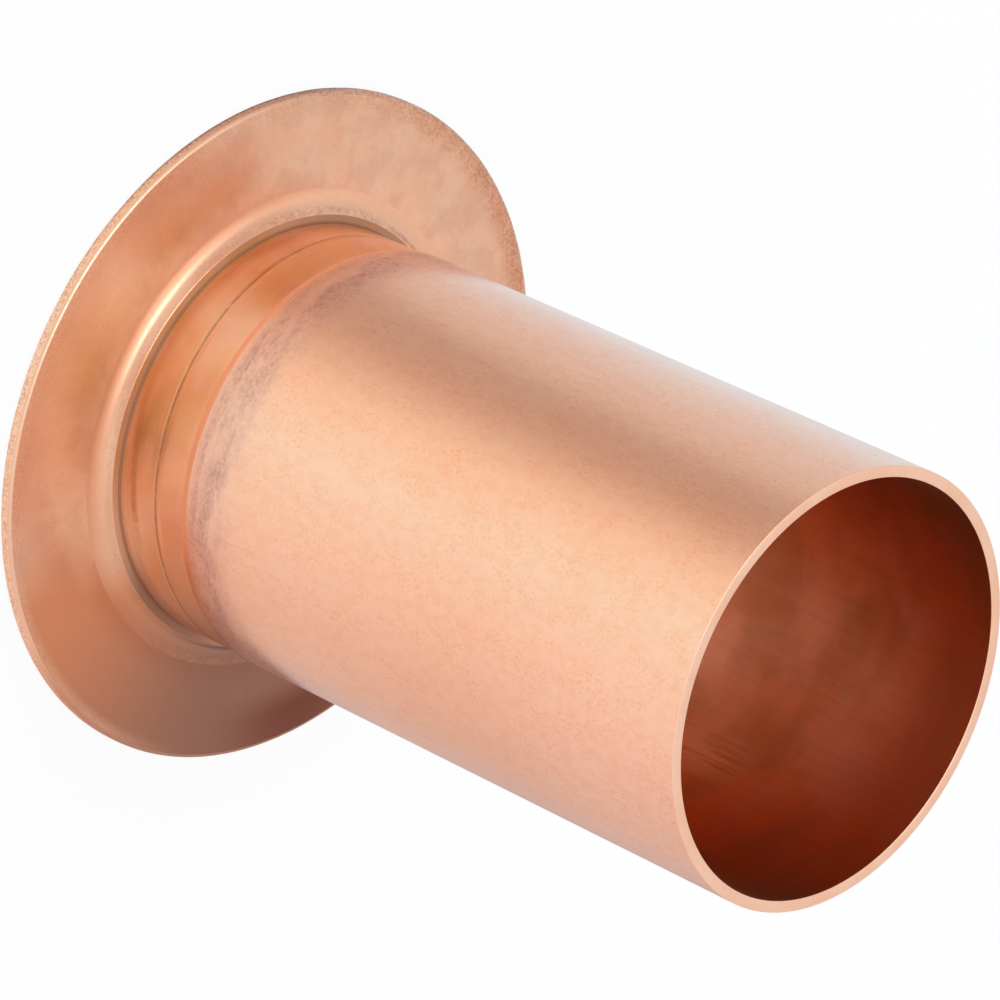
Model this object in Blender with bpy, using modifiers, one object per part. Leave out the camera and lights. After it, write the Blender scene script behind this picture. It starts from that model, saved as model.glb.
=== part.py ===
"""Flange collar: a copper tube whose end is flared into a flat round flange.

A loose backing flange slides over the tube and bears on the front of the flange. The neck behind
it is turned down a little, with one fine tool groove, and steps back up to the plain tube.
The frame stands on the back face of the flange, with the tube rising along +Z.
"""
import math

import bpy

MM = 0.001

# Driving dimensions, in millimetres. Heights are taken from the back face of the flange.
TUBE_OD = 76.1
TUBE_WALL = 2.0
LENGTH = 135.5
END_BREAK = 0.25

FLANGE_OD = 121.0
FLANGE_THICKNESS = 2.0
RIM_FRONT_RADIUS = 0.7
RIM_BACK_RADIUS = 0.3

FLARE_RADIUS = 5.2

NECK_OD = 75.2
NECK_START = 3.85
NECK_END = 19.6
NECK_NOSE_RADIUS = 0.4
STEP_LENGTH = 1.4

GROOVE_HEIGHT = 12.5
GROOVE_WIDTH = 1.9
GROOVE_DEPTH = 0.1

# Fineness of the turned shape.
STEPS = 96
FLARE_SEGMENTS = 6
RIM_SEGMENTS = 3
NOSE_SEGMENTS = 3
GROOVE_SEGMENTS = 4
SHARP_ANGLE = math.radians(24)

# Radii that follow from the sizes above.
TUBE_RADIUS = TUBE_OD / 2
BORE_RADIUS = TUBE_RADIUS - TUBE_WALL
NECK_RADIUS = NECK_OD / 2
FLANGE_RADIUS = FLANGE_OD / 2

# The tube is bent outwards about this circle, which touches both the tube and the flange.
BEND_RADIUS = TUBE_RADIUS + FLARE_RADIUS
BEND_HEIGHT = FLANGE_THICKNESS + FLARE_RADIUS


def arc(centre, radius, start, end, segments):
    """Points of an arc from start to end, in degrees, ends included."""
    points = []
    for index in range(segments + 1):
        angle = math.radians(start + (end - start) * index / segments)
        points.append((centre[0] + radius * math.cos(angle), centre[1] + radius * math.sin(angle)))
    return points


def elliptic_arc(centre, radii, start, end, segments):
    """As arc, with its own radius across and its own radius up."""
    points = []
    for index in range(segments + 1):
        angle = math.radians(start + (end - start) * index / segments)
        across = centre[0] + radii[0] * math.cos(angle)
        points.append((across, centre[1] + radii[1] * math.sin(angle)))
    return points


def open_end():
    """The square end of the tube with its sharp edges broken, from the bore outwards."""
    return [
        (BORE_RADIUS, LENGTH - END_BREAK),
        (BORE_RADIUS + END_BREAK, LENGTH),
        (TUBE_RADIUS - END_BREAK, LENGTH),
        (TUBE_RADIUS, LENGTH - END_BREAK),
    ]


def groove():
    """The shallow tool groove round the neck, from its upper edge down."""
    half = GROOVE_WIDTH / 2
    radius = (half ** 2 + GROOVE_DEPTH ** 2) / (2 * GROOVE_DEPTH)
    sweep = math.degrees(math.asin(half / radius))
    centre = (NECK_RADIUS - GROOVE_DEPTH + radius, GROOVE_HEIGHT)
    return arc(centre, radius, 180 - sweep, 180 + sweep, GROOVE_SEGMENTS)


def neck():
    """The turned neck, from the step at its top to the ledge where the tool stopped."""
    nose = (NECK_RADIUS + NECK_NOSE_RADIUS, NECK_START + NECK_NOSE_RADIUS)
    points = [(TUBE_RADIUS, NECK_END + STEP_LENGTH), (NECK_RADIUS, NECK_END)]
    points += groove()
    points += arc(nose, NECK_NOSE_RADIUS, 180, 270, NOSE_SEGMENTS)
    return points


def flare():
    """The outer side of the flare, from its corner with the neck down to the flat flange."""
    rise = math.degrees(math.asin((BEND_HEIGHT - NECK_START) / FLARE_RADIUS))
    return arc((BEND_RADIUS, BEND_HEIGHT), FLARE_RADIUS, 180 + rise, 270, FLARE_SEGMENTS)


def rim():
    """The rounded edge of the flange, from its front face to its back face."""
    front = (FLANGE_RADIUS - RIM_FRONT_RADIUS, FLANGE_THICKNESS - RIM_FRONT_RADIUS)
    back = (FLANGE_RADIUS - RIM_BACK_RADIUS, RIM_BACK_RADIUS)
    points = arc(front, RIM_FRONT_RADIUS, 90, 0, RIM_SEGMENTS)
    points += arc(back, RIM_BACK_RADIUS, 0, -90, RIM_SEGMENTS)
    return points


def bore_mouth():
    """The bore side of the flare, from the back face up to the bore.

    It follows the outer side a metal thickness away: the flange's at its foot, the tube's above.
    """
    radii = (FLARE_RADIUS + TUBE_WALL, FLARE_RADIUS + FLANGE_THICKNESS)
    return elliptic_arc((BEND_RADIUS, BEND_HEIGHT), radii, 270, 180, FLARE_SEGMENTS)


def section():
    """The closed half section of the collar, in metres, down the outside and up the bore."""
    points = open_end() + neck() + flare() + rim() + bore_mouth()
    return [(radius * MM, height * MM) for radius, height in points]


def clear_scene():
    for item in list(bpy.data.objects):
        bpy.data.objects.remove(item)


def copper():
    """Satin turned copper."""
    material = bpy.data.materials.new("copper")
    material.use_nodes = True
    shader = material.node_tree.nodes["Principled BSDF"]
    shader.inputs["Base Color"].default_value = (0.93, 0.60, 0.41, 1.0)
    shader.inputs["Metallic"].default_value = 1.0
    shader.inputs["Roughness"].default_value = 0.24
    return material


def turned(name, points, collection):
    """A ring turned about +Z from a closed profile of radius and height."""
    count = len(points)
    profile = bpy.data.meshes.new(name + "_profile")
    vertices = [(radius, 0.0, height) for radius, height in points]
    edges = [(index, (index + 1) % count) for index in range(count)]
    profile.from_pydata(vertices, edges, [])
    ring = bpy.data.objects.new(name, profile)
    collection.objects.link(ring)
    screw = ring.modifiers.new("turning", "SCREW")
    screw.axis = "Z"
    screw.steps = STEPS
    screw.render_steps = STEPS
    screw.use_merge_vertices = False
    screw.merge_threshold = 0.00001
    return ring


def apply_turning(ring):
    """Keep the turned surface as the object's own mesh, smooth between its sharp edges."""
    shapes = bpy.context.evaluated_depsgraph_get()
    surface = bpy.data.meshes.new_from_object(ring.evaluated_get(shapes))
    profile = ring.data
    ring.modifiers.clear()
    ring.data = surface
    surface.name = ring.name
    bpy.data.meshes.remove(profile)
    surface.shade_smooth()
    surface.set_sharp_from_angle(angle=SHARP_ANGLE)


def build():
    clear_scene()
    collection = bpy.data.collections.new("flange_collar")
    bpy.context.scene.collection.children.link(collection)
    collar = turned("collar", section(), collection)
    apply_turning(collar)
    collar.data.materials.append(copper())


build()
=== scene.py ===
"""The flange collar's looks: one piece of satin copper on a white studio floor.

The collar is turned from a profile at its real sizes, with the finish of each of its surfaces built
from nodes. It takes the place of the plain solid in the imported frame, which gives its outer sizes.
"""
import math

import bmesh
import bpy
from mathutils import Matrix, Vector, noise


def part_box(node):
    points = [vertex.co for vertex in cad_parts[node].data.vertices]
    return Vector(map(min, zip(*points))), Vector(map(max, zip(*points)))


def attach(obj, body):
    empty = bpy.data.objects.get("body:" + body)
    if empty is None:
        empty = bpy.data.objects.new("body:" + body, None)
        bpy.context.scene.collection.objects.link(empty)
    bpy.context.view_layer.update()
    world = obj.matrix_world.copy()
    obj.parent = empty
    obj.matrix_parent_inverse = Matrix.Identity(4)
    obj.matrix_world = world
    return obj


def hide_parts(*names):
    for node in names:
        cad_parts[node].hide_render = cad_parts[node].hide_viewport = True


bl_info = {
    "name": "Flange collar",
    "version": (1, 0, 0),
    "blender": (4, 5, 0),
    "location": "View3D > Sidebar > Flange collar",
    "description": "Makes a flared copper collar and the studio it stands in",
    "category": "Add Mesh",
}

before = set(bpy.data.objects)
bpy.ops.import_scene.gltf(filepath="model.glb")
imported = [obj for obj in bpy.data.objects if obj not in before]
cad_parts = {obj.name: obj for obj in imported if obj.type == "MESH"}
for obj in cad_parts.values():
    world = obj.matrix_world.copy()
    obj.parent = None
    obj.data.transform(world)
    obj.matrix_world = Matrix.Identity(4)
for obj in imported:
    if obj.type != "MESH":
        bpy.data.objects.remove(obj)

NODE = "collar"
BODY = "root"
LOW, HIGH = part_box(NODE)
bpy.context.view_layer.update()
MM = 0.001

# How far the last ring of a straight run stands from the edge that it supports, and the largest
# share of the run that this may be.
SUPPORT = 0.06 * MM
SUPPORT_SHARE = 0.1

# Segments of each arc of the half section, and parts of each straight run.
END_SEGMENTS = 4
STEP_SEGMENTS = 6
GROOVE_SEGMENTS = 10
NOSE_SEGMENTS = 6
LEDGE_SEGMENTS = 4
FLARE_SEGMENTS = 20
RIM_FRONT_SEGMENTS = 8
RIM_BACK_SEGMENTS = 4
BELL_SEGMENTS = 16
TUBE_PARTS = 16
NECK_PARTS = 6
LEDGE_PARTS = 2
FLANGE_PARTS = 10
RIM_PARTS = 2
BACK_PARTS = 8

# Points of the half section that are closer than this are one point.
SAME_POINT = 0.001 * MM

# Length of the waves in the surface, and the sizes of the nicks in the rim.
WAVE_LENGTH = 22 * MM
FINE_NICK = 1.5 * MM
BROAD_NICK = 6 * MM
NICK_DEPTH = 0.06 * MM
NICKED_WIDTH = 3 * MM

# Painted shade with some brown film on the lower side, by azimuth in degrees: how softly it begins,
# between which it turns from amber to brown, and between which it fades.
FILM_AND_SHADE_SOFTNESS = 10
FILM_AND_SHADE_AMBER, FILM_AND_SHADE_BROWN = 45, 110
FILM_AND_SHADE_FADES, FILM_AND_SHADE_ENDS = 150, 175

# Painted shade on the underside of neck and flare: its middle azimuth, half width and softness in degrees.
UNDERSIDE_SHADE = (80, 22, 12)

# Heights of the fine relief that the tools left.
DRAWN_RELIEF = 0.002 * MM
PRESSED_RELIEF = 0.0015 * MM
BORE_RELIEF = 0.001 * MM
CUT_RELIEF = 0.0008 * MM

# Gap between the flange and the floor, and how much light the floor throws back.
FLOOR_GAP = 0.2 * MM
FLOOR_WHITE = 0.9

# Sockets of the Mix node when it mixes colours.
MIX_FACTOR, MIX_FIRST, MIX_SECOND, MIX_RESULT = 0, 6, 7, 2


def size_property(label, note, value):
    """A size that a user can change, in metres."""
    return bpy.props.FloatProperty(
        name=label, description=note, default=value, min=0.0, precision=5, unit="LENGTH",
        subtype="DISTANCE"
    )


def colour_property(label, note, value):
    """A colour that a user can change."""
    return bpy.props.FloatVectorProperty(
        name=label, description=note, default=value, size=3, min=0.0, max=1.0, subtype="COLOR"
    )


def place_property(label, note, value):
    """A place that a user can change, in metres."""
    return bpy.props.FloatVectorProperty(name=label, description=note, default=value, subtype="TRANSLATION")


def glow_property(label, value):
    """The brightness of a lamp's face, where 1 is white."""
    return bpy.props.FloatProperty(name=label, description="Brightness of its face", default=value, min=0.0)


def share_property(label, note, value):
    """A number from 0 to 1 that a user can change."""
    return bpy.props.FloatProperty(
        name=label, description=note, default=value, min=0.0, max=1.0, subtype="FACTOR"
    )


class CollarSizes(bpy.types.PropertyGroup):
    """Sizes of the collar. Heights are taken from the back face of the flange."""

    tube_diameter: size_property("Tube diameter", "Outside of the plain tube", 0.0761)
    tube_wall: size_property("Tube wall", "Thickness of the tube", 0.002)
    total_length: size_property("Length", "Back of the flange to the open end", HIGH.z - LOW.z)
    end_round: size_property("End edges", "Radius on the edges of the open end", 0.0001)
    flange_diameter: size_property("Flange diameter", "Outside of the flange", HIGH.x - LOW.x)
    flange_thickness: size_property("Flange thickness", "Thickness of the flange", 0.002)
    rim_front_round: size_property("Front rim edge", "Radius on the front edge of the rim", 0.0007)
    rim_back_round: size_property("Back rim edge", "Radius on the back edge of the rim", 0.00015)
    flare_radius: size_property("Flare radius", "Outer bend from the tube to the flange", 0.0052)
    neck_diameter: size_property("Neck diameter", "Turned neck behind the flange", 0.0752)
    neck_start: size_property("Neck start", "Height of the ledge where the neck begins", 0.00385)
    neck_end: size_property("Neck end", "Height at which the neck ends", 0.0196)
    nose_radius: size_property("Tool nose", "Radius at the foot of the neck", 0.0002)
    ledge_round: size_property("Ledge edge", "Radius where the ledge meets the flare", 0.0005)
    step_length: size_property("Step length", "Length of the slope up to the tube", 0.0014)
    step_round: size_property("Step edges", "Radius on both edges of the step", 0.0006)
    groove_height: size_property("Groove height", "Height of the tool groove", 0.0125)
    groove_width: size_property("Groove width", "Width of the tool groove", 0.0019)
    groove_depth: size_property("Groove depth", "Depth of the tool groove", 0.0001)
    groove_tilt: size_property("Groove tilt", "How far the groove leans out of square", 0.0013)
    waviness: size_property("Waviness", "How far the surface strays from true", 0.00003)
    steps: bpy.props.IntProperty(name="Steps", description="Facets round the collar", default=480, min=24)


class CopperLook(bpy.types.PropertyGroup):
    """Colours and gloss of the copper."""

    bright: colour_property("Bright copper", "Clean metal", (0.93, 0.56, 0.385))
    # Pale copper also stands in for painted light on the neck, the flange's front and the tube's step.
    pale: colour_property("Pale copper", "Freshly cut metal", (0.99, 0.62, 0.455))
    # The bright cut is a painted highlight on the neck.
    painted_highlight: colour_property("Bright cut", "Where the tool left the neck brightest", (1.0, 0.88, 0.72))
    freckle: colour_property("Freckle", "Warm orange specks", (0.87, 0.35, 0.16))
    rosy: colour_property("Rosy copper", "Pink-brown patches and threads", (0.58, 0.25, 0.20))
    oxide: colour_property("Oxide", "Violet-brown smoke beside the neck", (0.49, 0.27, 0.24))
    blush: colour_property("Blush", "Pale pink ground under the bloom", (0.97, 0.70, 0.58))
    # Amber is also laid as painted shade on the flare and flange.
    amber: colour_property("Amber film", "Thin film on the neck and flange", (0.76, 0.275, 0.13))
    gold: colour_property("Golden film", "Thinner film in patches on the neck", (0.88, 0.50, 0.23))
    # Olive is also laid as painted shade at the neck's foot and on the neck.
    olive: colour_property("Olive film", "Thicker film, on the neck and in the bore", (0.40, 0.21, 0.07))
    # Besides brown film and soiled spots, this brown is painted shade on lower sides, at the neck's foot and
    # on the neck.
    tarnish_and_shade: colour_property("Tarnish", "Brown film and soiled spots", (0.33, 0.15, 0.105))
    # Besides the red-brown streak and dark lines, this colour is painted shade under the flare's foot.
    burn_and_shade: colour_property("Burn", "Red-brown streak near the rim, and dark lines", (0.19, 0.051, 0.031))
    # This grey-brown is painted shade along the rim's back edge, broken by specks.
    dirt_and_shade: colour_property("Dirt", "Grey-brown dirt at the rim", (0.26, 0.17, 0.14))
    bore: colour_property("Bore", "Dull metal inside", (0.70, 0.235, 0.07))
    bore_haze: colour_property("Bore haze", "Paler haze inside the open end", (0.92, 0.54, 0.42))
    tube_roughness: share_property("Tube roughness", "How dull the tube is", 0.25)
    neck_roughness: share_property("Neck roughness", "How dull the neck is", 0.22)
    flange_roughness: share_property("Flange roughness", "How dull the flange is", 0.27)
    bore_roughness: share_property("Bore roughness", "How dull the bore is", 0.34)


class StudioLook(bpy.types.PropertyGroup):
    """The studio: camera, lamps, floor and room."""

    camera_place: place_property("Camera place", "Where the camera stands", (0.91201, 0.0, 0.82087))
    camera_turn: bpy.props.FloatVectorProperty(
        name="Camera turn", description="How the camera is turned", subtype="EULER",
        default=[math.radians(angle) for angle in (-26.5210, -44.0218, -144.0098)]
    )
    lens: bpy.props.FloatProperty(name="Lens", description="Focal length", default=256.2, unit="CAMERA")
    room_grey: share_property("Room", "Grey of the room about the part", 0.82)
    lamp_place: place_property("Lamp place", "Where the lamp hangs", (0.0, -0.20, 1.28))
    lamp_size: size_property("Lamp size", "Side of the lamp", 0.5)
    lamp_glow: glow_property("Lamp glow", 5.2)
    lamp_colour: colour_property("Lamp colour", "Colour of its light", (0.78, 0.94, 1.0))
    window_place: place_property("Window place", "Where the window stands", (0.80, -0.44, 0.95))
    window_size: size_property("Window size", "Side of the window", 0.75)
    window_glow: glow_property("Window glow", 0.6)
    door_place: place_property("Door place", "Where the dimmer opening stands", (0.80, 0.50, 0.90))
    door_size: size_property("Door size", "Side of the dimmer opening", 0.9)
    door_glow: glow_property("Door glow", 0.28)
    daylight: colour_property("Daylight", "Colour of the light from both openings", (0.35, 0.75, 1.0))
    panel_place: place_property("Panel place", "Where the overhead panel hangs", (0.25, 0.55, 1.30))
    panel_size: size_property("Panel size", "Side of the overhead panel", 0.9)
    panel_glow: glow_property("Panel glow", 0.14)
    floor_size: size_property("Floor", "Side of the floor", 12.0)
    floor_shade: share_property("Shade", "How much of the part's shadow the floor keeps", 0.12)


def arc(centre, radius, start, end, segments):
    """Points of an arc in radius and height, from start to end in degrees, ends included."""
    points = []
    for index in range(segments + 1):
        angle = math.radians(start + (end - start) * index / segments)
        points.append((centre[0] + radius * math.cos(angle), centre[1] + radius * math.sin(angle)))
    return points


def run(start, end, count):
    """Points of a straight run, with one close to each end so that the edges there stay crisp."""
    near = min(SUPPORT_SHARE, SUPPORT / math.dist(start, end))
    shares = [0.0, near] + [index / count for index in range(1, count)] + [1.0 - near, 1.0]
    return [(start[0] + (end[0] - start[0]) * s, start[1] + (end[1] - start[1]) * s) for s in shares]


def blunt(before, corner, after, radius, segments):
    """A corner of the profile rounded by an arc that touches both of its sides."""
    here = Vector(corner)
    back = (Vector(before) - here).normalized()
    ahead = (Vector(after) - here).normalized()
    half = back.angle(ahead) / 2
    reach = radius / math.tan(half)
    centre = here + (back + ahead).normalized() * (radius / math.sin(half))
    first = here + back * reach - centre
    last = here + ahead * reach - centre
    start = math.degrees(math.atan2(first.y, first.x))
    turn = math.degrees(math.atan2(first.cross(last), first.dot(last)))
    return arc(centre, radius, start, start + turn, segments)


def outline(size):
    """The half section as zones, down the outside and up the bore: each a finish and its points."""
    tube = size.tube_diameter / 2
    bore = tube - size.tube_wall
    neck = size.neck_diameter / 2
    rim = size.flange_diameter / 2
    top = size.total_length
    thick = size.flange_thickness
    bend = (tube + size.flare_radius, thick + size.flare_radius)
    bell_radius = size.flare_radius + size.tube_wall
    edge = size.end_round

    mouth = arc((bore + edge, top - edge), edge, 180, 90, END_SEGMENTS)
    mouth += arc((tube - edge, top - edge), edge, 90, 0, END_SEGMENTS)
    step_top = (tube, size.neck_end + size.step_length)
    step_foot = (neck, size.neck_end)
    crest = blunt((tube, top), step_top, step_foot, size.step_round, STEP_SEGMENTS)
    foot = blunt(step_top, step_foot, (neck, 0.0), size.step_round, STEP_SEGMENTS)

    half = size.groove_width / 2
    groove_radius = (half ** 2 + size.groove_depth ** 2) / (2 * size.groove_depth)
    sweep = math.degrees(math.asin(half / groove_radius))
    groove_centre = (neck - size.groove_depth + groove_radius, size.groove_height)
    groove = arc(groove_centre, groove_radius, 180 - sweep, 180 + sweep, GROOVE_SEGMENTS)

    nose_centre = (neck + size.nose_radius, size.neck_start + size.nose_radius)
    nose = arc(nose_centre, size.nose_radius, 180, 270, NOSE_SEGMENTS)
    rise = math.degrees(math.asin((bend[1] - size.neck_start) / size.flare_radius))
    flare = arc(bend, size.flare_radius, 180 + rise, 270, FLARE_SEGMENTS)
    flare = blunt(nose[-1], flare[0], flare[1], size.ledge_round, LEDGE_SEGMENTS) + flare[2:]
    front_round, back_round = size.rim_front_round, size.rim_back_round
    front = arc((rim - front_round, thick - front_round), front_round, 90, 0, RIM_FRONT_SEGMENTS)
    back = arc((rim - back_round, back_round), back_round, 0, -90, RIM_BACK_SEGMENTS)
    bell = arc((bend[0], bell_radius), bell_radius, 270, 180, BELL_SEGMENTS)

    neck_wall = run(foot[-1], groove[0], NECK_PARTS) + groove + run(groove[-1], nose[0], NECK_PARTS)
    return [
        ("end", mouth),
        ("tube", run(mouth[-1], crest[0], TUBE_PARTS) + crest),
        ("neck", foot + neck_wall + nose + run(nose[-1], flare[0], LEDGE_PARTS)),
        ("flare", flare),
        ("flange", run(flare[-1], front[0], FLANGE_PARTS)),
        ("rim", front + run(front[-1], back[0], RIM_PARTS) + back),
        ("flange", run(back[-1], bell[0], BACK_PARTS) + bell),
        ("bore", run(bell[-1], mouth[0], TUBE_PARTS)),
    ]


def turned_mesh(name, zones, steps):
    """The zones turned about +Z, with a material slot for each finish. Returns mesh and finishes."""
    finishes = sorted({finish for finish, _ in zones})
    profile = []
    for finish, points in zones:
        for point in points:
            if profile and math.dist(profile[-1][0], point) < SAME_POINT:
                profile.pop()
            profile.append((point, finishes.index(finish)))
    shape = bmesh.new()
    rings = []
    angles = [2 * math.pi * step / steps for step in range(steps)]
    for (radius, height), _ in profile:
        places = [(radius * math.cos(angle), radius * math.sin(angle), height) for angle in angles]
        rings.append([shape.verts.new(place) for place in places])
    for index, upper in enumerate(rings):
        lower = rings[(index + 1) % len(rings)]
        for step in range(steps):
            after = (step + 1) % steps
            face = shape.faces.new((upper[step], lower[step], lower[after], upper[after]))
            face.smooth = True
            face.material_index = profile[index][1]
    mesh = bpy.data.meshes.new(name)
    shape.to_mesh(mesh)
    shape.free()
    return mesh, finishes


def let_stray(mesh, size):
    """Long shallow waves in the surface, small nicks in the rim and the lean of the tool groove.

    The outer sizes stay true: the waves stop short of the open end, and the nicks only go inwards.
    """
    rim = size.flange_diameter / 2
    neck = size.neck_diameter / 2
    near_neck = 0.3 * MM
    near_face = 0.1 * MM
    margin = MM
    for vertex in mesh.vertices:
        place = vertex.co
        across = Vector((place.x, place.y, 0.0))
        wave = noise.noise(place / WAVE_LENGTH)
        if across.length > rim - NICKED_WIDTH:
            nick = noise.noise(place / FINE_NICK) * 0.5 + noise.noise(place / BROAD_NICK)
            place -= across.normalized() * NICK_DEPTH * max(0.0, nick)
            continue
        if abs(across.length - neck) < near_neck:
            below = (place.z - size.neck_start - margin) / (size.groove_height - size.neck_start - 2 * margin)
            above = (size.neck_end - margin - place.z) / (size.neck_end - size.groove_height - 2 * margin)
            share = max(0.0, min(1.0, below, above))
            place.z += size.groove_tilt * place.y / across.length * share
        on_face = place.z < size.flange_thickness + near_face and across.length > size.tube_diameter / 2
        if on_face and place.z > size.flange_thickness / 2:
            place.z += size.waviness * wave
        elif place.z > size.flare_radius and place.z < size.total_length - margin:
            place += across.normalized() * size.waviness * wave


class Finish:
    """A copper finish being built: its colour so far, and the place on the part in millimetres."""

    def __init__(self, name, ground):
        self.material = bpy.data.materials.new(name)
        self.material.use_nodes = True
        self.tree = self.material.node_tree
        self.shader = self.tree.nodes["Principled BSDF"]
        self.shader.inputs["Metallic"].default_value = 1.0
        self.colour = opaque(ground)
        place = self.tree.nodes.new("ShaderNodeTexCoord").outputs["Object"]
        self.place = self.stretched(place, (1 / MM, 1 / MM, 1 / MM))
        x, y, self.height = self.node("ShaderNodeSeparateXYZ", {0: self.place}).outputs
        self.radius = self.calc("SQRT", self.plus(self.times(x, x), self.times(y, y)))
        self.azimuth = self.times(self.calc("ARCTAN2", y, x), math.degrees(1))
        self.sine = self.calc("DIVIDE", y, self.radius)

    def node(self, kind, feeds, **settings):
        """A node with its settings, and its inputs linked or set."""
        node = self.tree.nodes.new(kind)
        for setting, value in settings.items():
            setattr(node, setting, value)
        for socket, value in feeds.items():
            if isinstance(value, bpy.types.NodeSocket):
                self.tree.links.new(value, node.inputs[socket])
            else:
                node.inputs[socket].default_value = value
        return node

    def calc(self, operation, first, second=0.0):
        return self.node("ShaderNodeMath", {0: first, 1: second}, operation=operation).outputs[0]

    def plus(self, first, second):
        return self.calc("ADD", first, second)

    def times(self, *factors):
        """The product of several shares."""
        product = factors[0]
        for factor in factors[1:]:
            product = self.calc("MULTIPLY", product, factor)
        return product

    def stretched(self, vector, factors):
        feeds = {0: vector, 1: factors}
        return self.node("ShaderNodeVectorMath", feeds, operation="MULTIPLY").outputs[0]

    def between(self, value, low, high):
        """0 at low and 1 at high, with a soft start and end. Low may be the larger."""
        feeds = {"Value": value, "From Min": low, "From Max": high}
        return self.node("ShaderNodeMapRange", feeds, interpolation_type="SMOOTHSTEP").outputs["Result"]

    def sector(self, middle, half_width, softness):
        """1 inside a sector of azimuths, in degrees, and 0 outside it."""
        turned = self.calc("WRAP", self.calc("SUBTRACT", self.azimuth, middle))
        turned.node.inputs[1].default_value = 180.0
        turned.node.inputs[2].default_value = -180.0
        distance = self.calc("ABSOLUTE", turned)
        return self.between(distance, half_width + softness, half_width - softness)

    def line(self, value, place, half_width, core):
        """1 within the core of a line at that place, and 0 beyond its half width."""
        distance = self.calc("ABSOLUTE", self.calc("SUBTRACT", value, place))
        return self.between(distance, half_width, core)

    def grain(self, scale, across=1.0, along=1.0, detail=2.0, rough=0.5):
        """Noise of so many features a millimetre.

        A factor under 1 draws it out across or along the axis.
        """
        stretched = self.stretched(self.place, (across, across, along))
        feeds = {"Vector": stretched, "Scale": scale, "Detail": detail, "Roughness": rough}
        return self.node("ShaderNodeTexNoise", feeds).outputs[0]

    def spots(self, scale, low, high, **grain):
        """Grain cut into spots: 0 where it is under low, and 1 where it is over high."""
        return self.between(self.grain(scale, **grain), low, high)

    def blend(self, share, first, second):
        """The first colour, going to the second as the share goes to 1."""
        feeds = {MIX_FACTOR: share, MIX_FIRST: first, MIX_SECOND: second}
        return self.node("ShaderNodeMix", feeds, data_type="RGBA").outputs[MIX_RESULT]

    def coat(self, colour, *shares):
        """Lays a colour over the finish, as strong as the product of the shares."""
        self.colour = self.blend(self.times(*shares), self.colour, opaque(colour))

    def brown(self, look, start, share, delay=0.0):
        """Lays painted shade with some brown film, which begins at that azimuth as amber, turns brown further
        round and then fades.
        """
        turned = self.calc("SUBTRACT", self.azimuth, delay)
        film = self.times(
            self.between(turned, start - FILM_AND_SHADE_SOFTNESS, start + FILM_AND_SHADE_SOFTNESS),
            self.between(self.azimuth, FILM_AND_SHADE_ENDS, FILM_AND_SHADE_FADES),
        )
        browner = self.between(self.azimuth, FILM_AND_SHADE_AMBER, FILM_AND_SHADE_BROWN)
        tint = self.blend(browner, opaque(look.amber), opaque(look.tarnish_and_shade))
        self.colour = self.blend(self.times(film, share), self.colour, tint)

    def dress(self, roughness, relief=None, relief_height=0.0):
        """Joins the finish to its shader, with relief as a bump of that height in metres."""
        self.tree.links.new(self.colour, self.shader.inputs["Base Color"])
        self.tree.links.new(roughness, self.shader.inputs["Roughness"])
        if relief is not None:
            feeds = {"Height": relief, "Distance": relief_height, "Strength": 1.0}
            bump = self.node("ShaderNodeBump", feeds)
            self.tree.links.new(bump.outputs["Normal"], self.shader.inputs["Normal"])
        return self.material


def opaque(colour):
    return (*colour, 1.0)


def bloom(finish, look, step):
    """The bloom on the tube beside the neck: violet-brown smoke on a pale ground, more of it underneath.

    Returns the belt of heights that holds the smoke.
    """
    height = finish.height
    blush = finish.between(height, step + 14, step + 4)
    belt = finish.times(
        finish.between(height, step + 0.1, step + 2.0), finish.between(height, step + 13.0, step + 5.0)
    )
    smoke = finish.spots(0.24, 0.34, 0.62, across=0.35, detail=4.0, rough=0.6)
    veil = finish.times(
        finish.between(height, step + 16, step + 2),
        finish.spots(0.11, 0.34, 0.60, across=0.7, along=1.1, detail=3.0, rough=0.6),
    )
    specks = finish.spots(2.0, 0.40, 0.62, across=0.5, detail=4.0, rough=0.7)
    mist = finish.plus(finish.times(specks, 0.6), 0.4)
    lower_side = finish.sector(80, 9, 11)
    underneath = finish.times(lower_side, finish.between(height, step + 40, step + 14))
    finish.coat(look.blush, blush, 0.36)
    finish.coat(look.oxide, veil, mist, 0.22)
    finish.coat(look.oxide, belt, smoke, mist, 0.76)
    finish.coat(look.oxide, underneath, mist, 0.80)
    return belt


def scratch(finish, look):
    """A fine scratch up the tube, between two heights, which leans by so many degrees a millimetre."""
    low, high = 26.5, 39.8
    azimuth, lean = 37.2, 0.128
    half_width, core = 0.22, 0.06
    low_fade, high_fade = 1.5, 3.0
    leaning = finish.plus(finish.azimuth, finish.times(finish.height, lean))
    stretch = finish.times(
        finish.line(leaning, azimuth, half_width, core),
        finish.between(finish.height, low, low + low_fade),
        finish.between(finish.height, high, high - high_fade),
    )
    finish.coat(look.tarnish_and_shade, stretch, 0.18)


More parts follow.
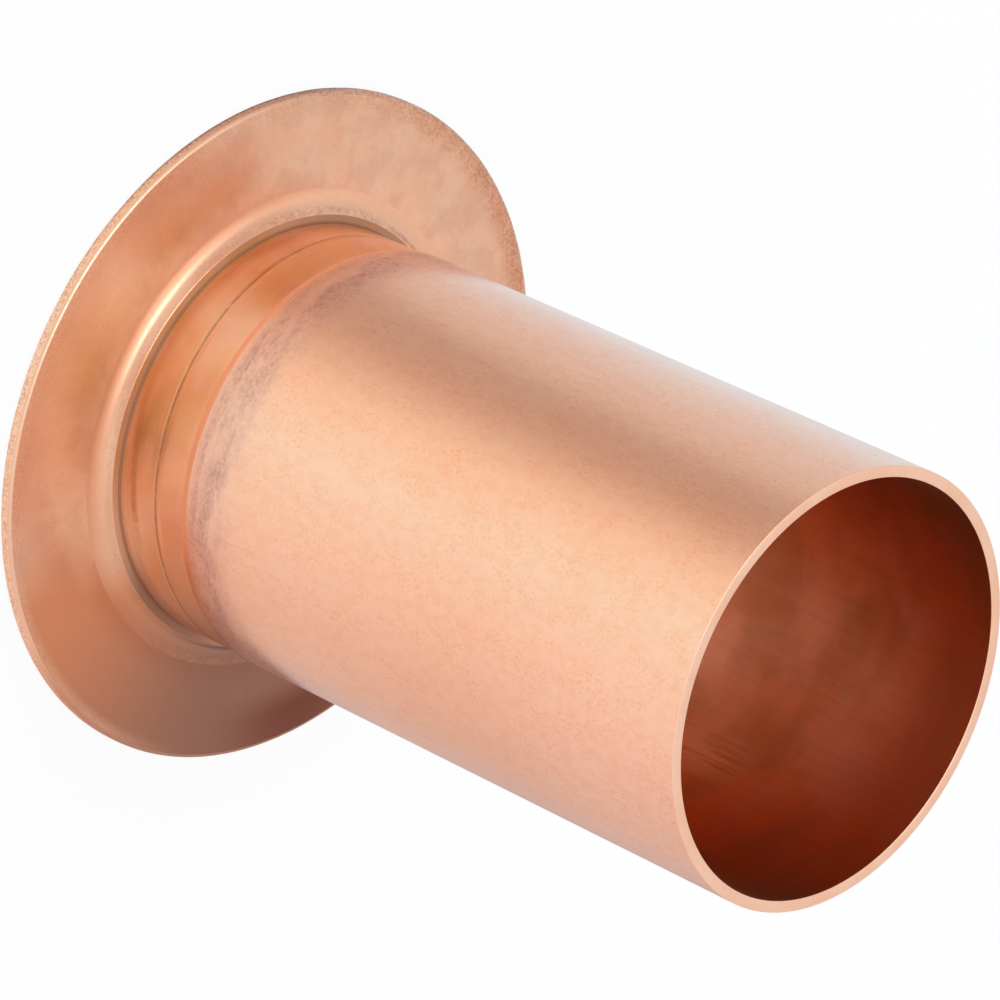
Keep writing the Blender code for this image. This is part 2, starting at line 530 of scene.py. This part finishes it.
def tube_finish(look, size):
    """Drawn tube: pale satin copper with warm freckles, and a violet-brown bloom beside the neck."""
    finish = Finish("tube_copper", look.bright)
    step = (size.neck_end + size.step_length) / MM
    top = size.total_length / MM
    streaks = finish.grain(0.9, along=0.10, detail=3.0)
    lower_side = finish.sector(62, 36, 22)
    upper_side = finish.sector(-40, 24, 14)
    paler = finish.times(lower_side, finish.between(finish.height, top - 50, top - 15))
    finish.coat(look.pale, paler, 0.95)

    drifts = finish.spots(0.07, 0.35, 0.70, along=0.5, detail=3.0)
    patches = finish.spots(0.60, 0.42, 0.62, along=0.7, detail=4.0, rough=0.65)
    dots = finish.spots(1.9, 0.50, 0.66, along=0.8, detail=3.0, rough=0.65)
    clumps = finish.spots(0.22, 0.30, 0.60, along=0.6, detail=3.0)
    threads = finish.spots(1.4, 0.48, 0.72, along=0.07, detail=3.0, rough=0.6)
    finish.coat(look.freckle, drifts, 0.08)
    finish.coat(look.freckle, patches, 0.17)
    finish.coat(look.freckle, dots, clumps, 0.44)
    finish.coat(look.rosy, threads, upper_side, 0.09)

    belt = bloom(finish, look, step)
    # Paler copper on the step's slope is a painted lighter reflection.
    slope = finish.between(finish.height, step - 0.05, step - 0.25)
    finish.coat(look.pale, slope, 0.9)
    scratch(finish, look)
    roughness = finish.plus(finish.times(streaks, 0.10), look.tube_roughness - 0.05)
    roughness = finish.plus(roughness, finish.times(belt, 0.08))
    return finish.dress(roughness, streaks, DRAWN_RELIEF)


def neck_finish(look, size):
    """Turned neck: golden copper with tool rings and brown smears round it, painted highlights on two sides,
    painted shade on its sides and a dark foot of painted shade with some olive film.
    """
    finish = Finish("neck_copper", look.bright)
    foot = size.neck_start / MM
    wall = size.neck_diameter / 2 / MM
    height = finish.height
    rings = finish.grain(1.0, across=0.02, along=3.5, detail=3.0, rough=0.6)
    smears = finish.spots(0.5, 0.40, 0.72, across=0.12, along=0.6, detail=3.0, rough=0.5)
    clouds = finish.spots(0.11, 0.40, 0.65, along=0.9)
    mottle = finish.spots(1.2, 0.40, 0.72, across=0.7, along=1.2, detail=3.0, rough=0.6)
    golden = finish.spots(0.12, 0.42, 0.58, along=1.6, detail=3.0)
    # Pale copper on the side at azimuth 48 is painted light.
    painted_light_side = finish.sector(48, 20, 12)
    golden_side = finish.between(finish.azimuth, 38, 22)
    finish.coat(look.pale, painted_light_side)
    finish.coat(look.rosy, clouds, 0.12)
    finish.coat(look.amber, smears, 0.14)
    finish.coat(look.gold, golden, golden_side, 0.58)
    finish.coat(look.freckle, finish.between(rings, 0.45, 0.75), 0.16)
    finish.coat(look.freckle, mottle, 0.12)

    # A spot of painted shade on the side at azimuth 15, above the foot.
    neck_shade_patch = finish.times(
        finish.sector(15, 9, 10), finish.between(height, 17, 12), finish.between(height, foot, foot + 4)
    )
    lower_side = finish.sector(84, 16, 16)
    upper_side = finish.sector(-46, 10, 12)
    above_foot = finish.between(height, foot + 0.8, foot + 2.0)
    softly = finish.plus(finish.times(smears, 0.5), 0.5)
    # Painted highlights on the sides at azimuths 56 and -20, above the foot.
    highlight_share = finish.plus(
        finish.times(finish.sector(56, 18, 12), 0.95), finish.times(finish.sector(-20, 7, 9), 0.3)
    )
    finish.coat(look.olive, neck_shade_patch, softly, 0.72)
    # Painted shade on the lower side and on the side at azimuth -46.
    finish.coat(look.tarnish_and_shade, lower_side, softly, 0.36)
    finish.coat(look.tarnish_and_shade, upper_side, softly, 0.16)
    finish.coat(look.painted_highlight, highlight_share, above_foot)

    groove = finish.plus(finish.times(finish.sine, size.groove_tilt / MM), size.groove_height / MM - 0.3)
    low_line = finish.plus(finish.times(finish.sine, 3.0), 5.8)
    broken = finish.spots(0.45, 0.15, 0.60, detail=4.0, rough=0.6)
    smeared_side = finish.sector(27, 18, 10)
    finish.coat(look.burn_and_shade, finish.line(height, groove, 0.42, 0.126), broken, 0.42)
    finish.coat(look.olive, finish.line(height, low_line, 1.1, 0.33), smeared_side, broken, 0.50)

    # Painted shade at the foot of the neck, with some olive film: in the corner, on the ledge and in the tool
    # nose, and more of it on the underside and at the top.
    corner = finish.between(height, foot + 0.9, foot + 0.1)
    low_neck_shade = finish.between(height, foot + 4, foot)
    under = finish.sector(*UNDERSIDE_SHADE)
    ledge_shade = finish.plus(finish.times(under, 0.55), finish.times(finish.sector(-92, 32, 16), 0.50))
    nose = finish.times(
        finish.between(finish.radius, wall + 0.40, wall + 0.18),
        finish.between(height, foot + 0.30, foot + 0.15),
    )
    finish.coat(look.olive, corner, 0.34)
    finish.coat(look.tarnish_and_shade, corner, ledge_shade)
    finish.coat(look.tarnish_and_shade, nose, 0.70)
    finish.coat(look.tarnish_and_shade, low_neck_shade, under, 0.30)
    roughness = finish.plus(finish.times(rings, 0.12), look.neck_roughness - 0.06)
    roughness = finish.plus(roughness, finish.times(corner, 0.36))
    return finish.dress(roughness, rings, DRAWN_RELIEF)


def flare_finish(look, size):
    """The bend from neck to flange: duller and soiled along its inner edge, with painted shade on its inner
    part and underneath, and painted shade with some brown film on its lower side.
    """
    finish = Finish("flare_copper", look.bright)
    tube = size.tube_diameter / 2 / MM
    specks = finish.spots(1.6, 0.42, 0.64, detail=4.0, rough=0.7)
    patches = finish.spots(0.09, 0.36, 0.58)
    smears = finish.spots(0.5, 0.38, 0.62, detail=4.0, rough=0.6)
    mottle = finish.spots(1.2, 0.40, 0.75, detail=5.0, rough=0.75)
    film = finish.plus(finish.times(finish.sector(0, 58, 12), 0.26), 0.08)
    facing_side = finish.sector(-10, 26, 14)
    shaded = finish.between(finish.radius, tube + 2.8, tube + 1.2)
    inner = finish.between(finish.radius, tube + 3.4, tube + 1.8)
    finish.coat(look.amber, film)
    # Painted shade on the inner part of the flare, on the side at azimuth -10.
    finish.coat(look.amber, shaded, facing_side, 0.50)
    finish.coat(look.tarnish_and_shade, specks, patches, inner, 0.14)

    soiled = finish.plus(finish.times(smears, 0.55), finish.times(specks, 0.30))
    upper_side = finish.plus(finish.times(finish.sector(-84, 36, 20), 0.85), 0.15)
    soiled_line = finish.line(finish.radius, tube + 1.6, 1.0, 0.2)
    foot = finish.between(finish.radius, tube + 2.4, tube + 1.2)
    flat = finish.between(finish.radius, tube + 2.0, tube + 5.0)
    finish.coat(look.tarnish_and_shade, soiled_line, upper_side, soiled, 0.50)
    finish.coat(look.freckle, specks, 0.15)
    # Painted shade with some brown film on the lower side, and painted shade under the foot.
    finish.brown(look, 57, 0.95)
    finish.coat(look.burn_and_shade, foot, finish.sector(*UNDERSIDE_SHADE), 0.18)
    finish.coat(look.freckle, mottle, flat, 0.30)
    satin = finish.between(finish.radius, tube + 2.4, tube + 3.6)
    return finish.dress(finish.plus(finish.times(satin, 0.22), look.flange_roughness))


def flange_finish(look, size):
    """The pressed flange: mottled satin copper with painted light on its front side, painted shade with some
    brown film on its lower side, a spot of painted shade, and specks along the rim.
    """
    finish = Finish("flange_copper", look.bright)
    rim = size.flange_diameter / 2 / MM
    radius = finish.radius
    front = finish.between(finish.height, 0.8, 1.2)
    mottle = finish.grain(1.2, detail=5.0, rough=0.75)
    blotches = finish.spots(0.45, 0.42, 0.62, detail=4.0, rough=0.65)
    clouds = finish.spots(0.11, 0.38, 0.66, detail=4.0, rough=0.55)
    pink = finish.spots(0.16, 0.42, 0.62, along=0.6, detail=4.0, rough=0.6)
    finish.coat(look.freckle, finish.between(mottle, 0.40, 0.75), 0.30)
    finish.coat(look.freckle, blotches, 0.12)
    finish.coat(look.freckle, clouds, 0.20)
    finish.coat(look.rosy, pink, 0.20)
    finish.coat(look.rosy, finish.between(mottle, 0.50, 0.30), 0.10)

    near_rim = finish.between(radius, rim - 3.0, rim - 1.0)
    facing_side = finish.sector(2, 30, 16)
    painted_light_share = finish.plus(finish.times(near_rim, 0.4), 0.55)
    outer = finish.between(radius, rim - 15.5, rim - 8.5)
    # Pale copper on the outer part of the front, on the side at azimuth 2 and most near the rim, is painted
    # light.
    finish.coat(look.pale, front, facing_side, painted_light_share, outer)
    # Painted shade with some brown film on the lower side, spared near the rim's lower part and broken by
    # fog.
    spared_near_rim = finish.times(near_rim, finish.between(finish.azimuth, 105, 80), 0.40)
    unspared = finish.calc("SUBTRACT", 1.0, spared_near_rim)
    fog = finish.spots(0.22, -1.2, 0.45, detail=4.0, rough=0.6)
    later = finish.times(finish.between(radius, rim - 9.5, rim - 14.5), 7.0)
    finish.brown(look, 44, finish.times(front, unspared, fog), later)
    # A spot of painted shade on the side at azimuth -46.
    flange_shade_patch = finish.times(
        front, finish.sector(-46, 7, 10), finish.between(radius, rim - 13.5, rim - 9.5),
        finish.between(radius, rim - 1.5, rim - 4.5),
    )
    finish.coat(look.amber, flange_shade_patch, 0.40)

    grime = finish.spots(1.5, 0.44, 0.58, detail=5.0, rough=0.75)
    streak = finish.times(front, finish.sector(130, 13, 12), finish.between(radius, rim - 12, rim - 5))
    rim_specks = finish.times(grime, finish.between(radius, rim - 5, rim - 0.5))
    upper_rim = finish.times(
        finish.sector(-118, 32, 24), finish.between(radius, rim - 6, rim - 2),
        finish.spots(0.25, 0.25, 0.60, detail=3.0),
    )
    finish.coat(look.burn_and_shade, streak, 0.84)
    finish.coat(look.tarnish_and_shade, rim_specks, 0.20)
    finish.coat(look.amber, upper_rim, 0.50)
    finish.coat(look.tarnish_and_shade, upper_rim, grime, 0.45)
    roughness = finish.plus(finish.times(mottle, 0.10), look.flange_roughness - 0.05)
    satin = finish.between(radius, rim - 11.5, rim - 17.3)
    roughness = finish.plus(roughness, finish.times(satin, 0.22))
    return finish.dress(roughness, mottle, PRESSED_RELIEF)


def rim_finish(look, size):
    """The rim of the flange: specks on its side, painted shade with some brown film on its lower side, and
    grey-brown painted shade broken by specks along its back edge.
    """
    finish = Finish("rim_copper", look.bright)
    thick = size.flange_thickness / MM
    side = finish.between(finish.height, thick - 0.3, thick - 0.9)
    back = finish.between(finish.height, 0.9, 0.25)
    specks = finish.spots(1.8, 0.42, 0.62, detail=4.0, rough=0.7)
    finish.coat(look.freckle, specks, 0.20)
    finish.coat(look.tarnish_and_shade, specks, side, 0.40)
    # Painted shade with some brown film on the lower side.
    finish.brown(look, 62, 0.8)
    soiled_side = finish.sector(-96, 42, 18)
    soiled = finish.plus(finish.times(specks, 0.35), 0.28)
    # Painted shade along the back edge on the side at azimuth -62, broken by specks.
    back_edge_side = finish.sector(-62, 40, 24)
    back_edge_specks = finish.between(specks, -0.8, 0.5)
    finish.coat(look.tarnish_and_shade, soiled_side, soiled)
    finish.coat(look.dirt_and_shade, back_edge_side, back, back_edge_specks, 0.85)
    return finish.dress(finish.plus(finish.times(specks, 0.12), look.flange_roughness + 0.06))


def bore_finish(look, size):
    """The bore: dull red-brown copper, cloudy, streaked, and hazy inside the open end."""
    finish = Finish("bore_copper", look.bore)
    top = size.total_length / MM
    streaks = finish.grain(1.2, along=0.05, detail=3.0, rough=0.6)
    clouds = finish.spots(0.08, 0.36, 0.64, along=0.8, detail=4.0, rough=0.55)
    olive = finish.spots(0.05, 0.42, 0.62, across=0.8, along=1.4, detail=3.0, rough=0.5)
    haze = finish.times(finish.sector(184, 34, 26), finish.between(finish.height, top - 5, top - 22))
    red = finish.times(finish.sector(148, 6, 8), finish.between(finish.height, top - 30, top - 42))
    finish.coat(look.rosy, clouds, 0.42)
    finish.coat(look.bore_haze, haze, finish.between(clouds, -1.4, 1.1), 0.84)
    finish.coat(look.olive, olive, 0.42)
    finish.coat(look.bright, red, finish.between(streaks, 0.40, 0.60), 0.85)
    finish.coat(look.tarnish_and_shade, finish.between(streaks, 0.45, 0.70), 0.12)
    roughness = finish.plus(finish.times(streaks, 0.08), look.bore_roughness - 0.04)
    return finish.dress(roughness, streaks, BORE_RELIEF)


def end_finish(look, size):
    """The cut end of the tube: pale, with fine rings from the cutter."""
    finish = Finish("end_copper", look.pale)
    cutter_rings = finish.calc("SINE", finish.times(finish.radius, 22.0))
    mottle = finish.grain(1.2, detail=3.0, rough=0.6)
    clouds = finish.spots(0.12, 0.42, 0.62, detail=3.0)
    finish.coat(look.freckle, finish.between(mottle, 0.45, 0.75), 0.14)
    finish.coat(look.freckle, clouds, 0.16)
    roughness = finish.plus(finish.times(mottle, 0.10), look.flange_roughness + 0.08)
    return finish.dress(roughness, cutter_rings, CUT_RELIEF)


FINISHES = {
    "tube": tube_finish,
    "neck": neck_finish,
    "flare": flare_finish,
    "flange": flange_finish,
    "rim": rim_finish,
    "bore": bore_finish,
    "end": end_finish,
}


class FLANGECOLLAR_OT_collar(bpy.types.Operator):
    """Turn the copper collar from its profile and give each of its surfaces a finish"""

    bl_idname = "flange_collar.collar"
    bl_label = "Collar"

    def execute(self, context):
        size = context.scene.collar_sizes
        look = context.scene.collar_copper
        mesh, finishes = turned_mesh("turned_collar", outline(size), size.steps)
        let_stray(mesh, size)
        for finish in finishes:
            mesh.materials.append(FINISHES[finish](look, size))
        collar = bpy.data.objects.new("turned_collar", mesh)
        context.scene.collection.objects.link(collar)
        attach(collar, BODY)
        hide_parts(NODE)
        return {"FINISHED"}


# What the copper mirrors from the floor, by azimuth about the part in degrees: the far side, a cool
# window, a brown board, the white front in two steps, a warm wall and its corner.
FLOOR_TONES = {
    -180: (0.70, 0.74, 0.77),
    -138: (0.81, 1.03, 1.20),
    -104: (0.82, 0.89, 1.00),
    -80: (0.78, 0.755, 0.785),
    -64: (0.58, 0.515, 0.51),
    -48: (0.64, 0.53, 0.48),
    -22: (1.05, 0.98, 0.89),
    4: (1.06, 1.16, 1.16),
    40: (1.02, 0.97, 0.965),
    76: (0.885, 0.775, 0.755),
    136: (0.67, 0.59, 0.585),
    160: (0.51, 0.45, 0.46),
    180: (0.70, 0.74, 0.77),
}


def floor_material(studio):
    """White to the camera with a trace of shadow, graded greys in reflections, plain white otherwise."""
    material = bpy.data.materials.new("studio_floor")
    material.use_nodes = True
    tree = material.node_tree
    tree.nodes.clear()
    link = tree.links.new
    output = tree.nodes.new("ShaderNodeOutputMaterial")
    light_path = tree.nodes.new("ShaderNodeLightPath")
    place = tree.nodes.new("ShaderNodeSeparateXYZ")
    link(tree.nodes.new("ShaderNodeNewGeometry").outputs["Position"], place.inputs[0])
    azimuth = tree.nodes.new("ShaderNodeMath")
    azimuth.operation = "ARCTAN2"
    link(place.outputs["Y"], azimuth.inputs[0])
    link(place.outputs["X"], azimuth.inputs[1])
    turn = tree.nodes.new("ShaderNodeMapRange")
    turn.inputs["From Min"].default_value = -math.pi
    turn.inputs["From Max"].default_value = math.pi
    link(azimuth.outputs[0], turn.inputs["Value"])
    ramp = tree.nodes.new("ShaderNodeValToRGB")
    link(turn.outputs["Result"], ramp.inputs["Fac"])
    steps = ramp.color_ramp.elements
    steps.remove(steps[-1])
    for index, (angle, tone) in enumerate(FLOOR_TONES.items()):
        share = (angle + 180) / 360
        step = steps[0] if index == 0 else steps.new(share)
        step.position = share
        step.color = opaque(tone)

    white = tree.nodes.new("ShaderNodeBsdfDiffuse")
    white.inputs["Color"].default_value = opaque([FLOOR_WHITE] * 3)
    mirrored = tree.nodes.new("ShaderNodeEmission")
    link(ramp.outputs["Color"], mirrored.inputs["Color"])
    seen = tree.nodes.new("ShaderNodeEmission")
    shaded = tree.nodes.new("ShaderNodeMixShader")
    shaded.inputs[0].default_value = studio.floor_shade
    link(seen.outputs[0], shaded.inputs[1])
    link(white.outputs[0], shaded.inputs[2])
    glossy = tree.nodes.new("ShaderNodeMixShader")
    link(light_path.outputs["Is Glossy Ray"], glossy.inputs[0])
    link(white.outputs[0], glossy.inputs[1])
    link(mirrored.outputs[0], glossy.inputs[2])
    camera = tree.nodes.new("ShaderNodeMixShader")
    link(light_path.outputs["Is Camera Ray"], camera.inputs[0])
    link(glossy.outputs[0], camera.inputs[1])
    link(shaded.outputs[0], camera.inputs[2])
    link(camera.outputs[0], output.inputs["Surface"])
    material.cycles.emission_sampling = "NONE"
    return material


def soft_lamp(name, place, side, glow, colour=(1.0, 1.0, 1.0)):
    """A square lamp that faces the part, with that brightness and colour of its face."""
    light = bpy.data.lights.new(name, "AREA")
    light.color = colour
    light.shape = "SQUARE"
    light.size = side
    light.energy = math.pi * side ** 2 * glow
    lamp = bpy.data.objects.new(name, light)
    lamp.location = place
    middle = (LOW + HIGH) / 2
    lamp.rotation_euler = (lamp.location - middle).to_track_quat("Z", "Y").to_euler()
    lamp.visible_camera = False
    bpy.context.scene.collection.objects.link(lamp)


def room(studio):
    """The room: even grey light, and white where the camera sees it."""
    world = bpy.data.worlds.new("studio_room")
    bpy.context.scene.world = world
    world.use_nodes = True
    tree = world.node_tree
    background = tree.nodes["Background"]
    white = tree.nodes.new("ShaderNodeBackground")
    choose = tree.nodes.new("ShaderNodeMixShader")
    light_path = tree.nodes.new("ShaderNodeLightPath")
    background.inputs["Color"].default_value = opaque([studio.room_grey] * 3)
    white.inputs["Color"].default_value = opaque([1.0] * 3)
    tree.links.new(light_path.outputs["Is Camera Ray"], choose.inputs[0])
    tree.links.new(background.outputs[0], choose.inputs[1])
    tree.links.new(white.outputs[0], choose.inputs[2])
    tree.links.new(choose.outputs[0], tree.nodes["World Output"].inputs["Surface"])


class FLANGECOLLAR_OT_studio(bpy.types.Operator):
    """Add the camera, the four lamps, the white floor and the room"""

    bl_idname = "flange_collar.studio"
    bl_label = "Studio"

    def execute(self, context):
        scene = context.scene
        studio = scene.collar_studio
        camera = bpy.data.objects.new("camera", bpy.data.cameras.new("camera"))
        camera.data.lens = studio.lens
        camera.location = studio.camera_place
        camera.rotation_euler = studio.camera_turn
        scene.collection.objects.link(camera)
        scene.camera = camera

        lamp_colour, daylight = studio.lamp_colour, studio.daylight
        soft_lamp("soft_lamp", studio.lamp_place, studio.lamp_size, studio.lamp_glow, lamp_colour)
        soft_lamp("window", studio.window_place, studio.window_size, studio.window_glow, daylight)
        soft_lamp("door", studio.door_place, studio.door_size, studio.door_glow, daylight)
        soft_lamp("panel", studio.panel_place, studio.panel_size, studio.panel_glow)

        shape = bmesh.new()
        bmesh.ops.create_grid(shape, x_segments=1, y_segments=1, size=studio.floor_size / 2)
        mesh = bpy.data.meshes.new("floor")
        shape.to_mesh(mesh)
        shape.free()
        floor = bpy.data.objects.new("floor", mesh)
        floor.location.z = LOW.z - FLOOR_GAP
        mesh.materials.append(floor_material(studio))
        scene.collection.objects.link(floor)
        room(studio)
        scene.view_settings.view_transform = "Standard"
        return {"FINISHED"}


class FLANGECOLLAR_PT_panel(bpy.types.Panel):
    """Sizes, copper and studio, with a button for the collar and one for the studio"""

    bl_idname = "FLANGECOLLAR_PT_panel"
    bl_label = "Flange collar"
    bl_space_type = "VIEW_3D"
    bl_region_type = "UI"
    bl_category = "Flange collar"

    def draw(self, context):
        for operator in (FLANGECOLLAR_OT_collar, FLANGECOLLAR_OT_studio):
            self.layout.operator(operator.bl_idname)
        scene = context.scene
        for group in (scene.collar_sizes, scene.collar_copper, scene.collar_studio):
            box = self.layout.box()
            for name in group.__annotations__:
                box.prop(group, name)


CLASSES = (
    CollarSizes,
    CopperLook,
    StudioLook,
    FLANGECOLLAR_OT_collar,
    FLANGECOLLAR_OT_studio,
    FLANGECOLLAR_PT_panel,
)


def register():
    for cls in CLASSES:
        bpy.utils.register_class(cls)
    bpy.types.Scene.collar_sizes = bpy.props.PointerProperty(type=CollarSizes)
    bpy.types.Scene.collar_copper = bpy.props.PointerProperty(type=CopperLook)
    bpy.types.Scene.collar_studio = bpy.props.PointerProperty(type=StudioLook)


def unregister():
    del bpy.types.Scene.collar_studio
    del bpy.types.Scene.collar_copper
    del bpy.types.Scene.collar_sizes
    for cls in reversed(CLASSES):
        bpy.utils.unregister_class(cls)


def main():
    register()
    bpy.ops.flange_collar.studio()
    bpy.ops.flange_collar.collar()


if __name__ == "__main__":
    main()
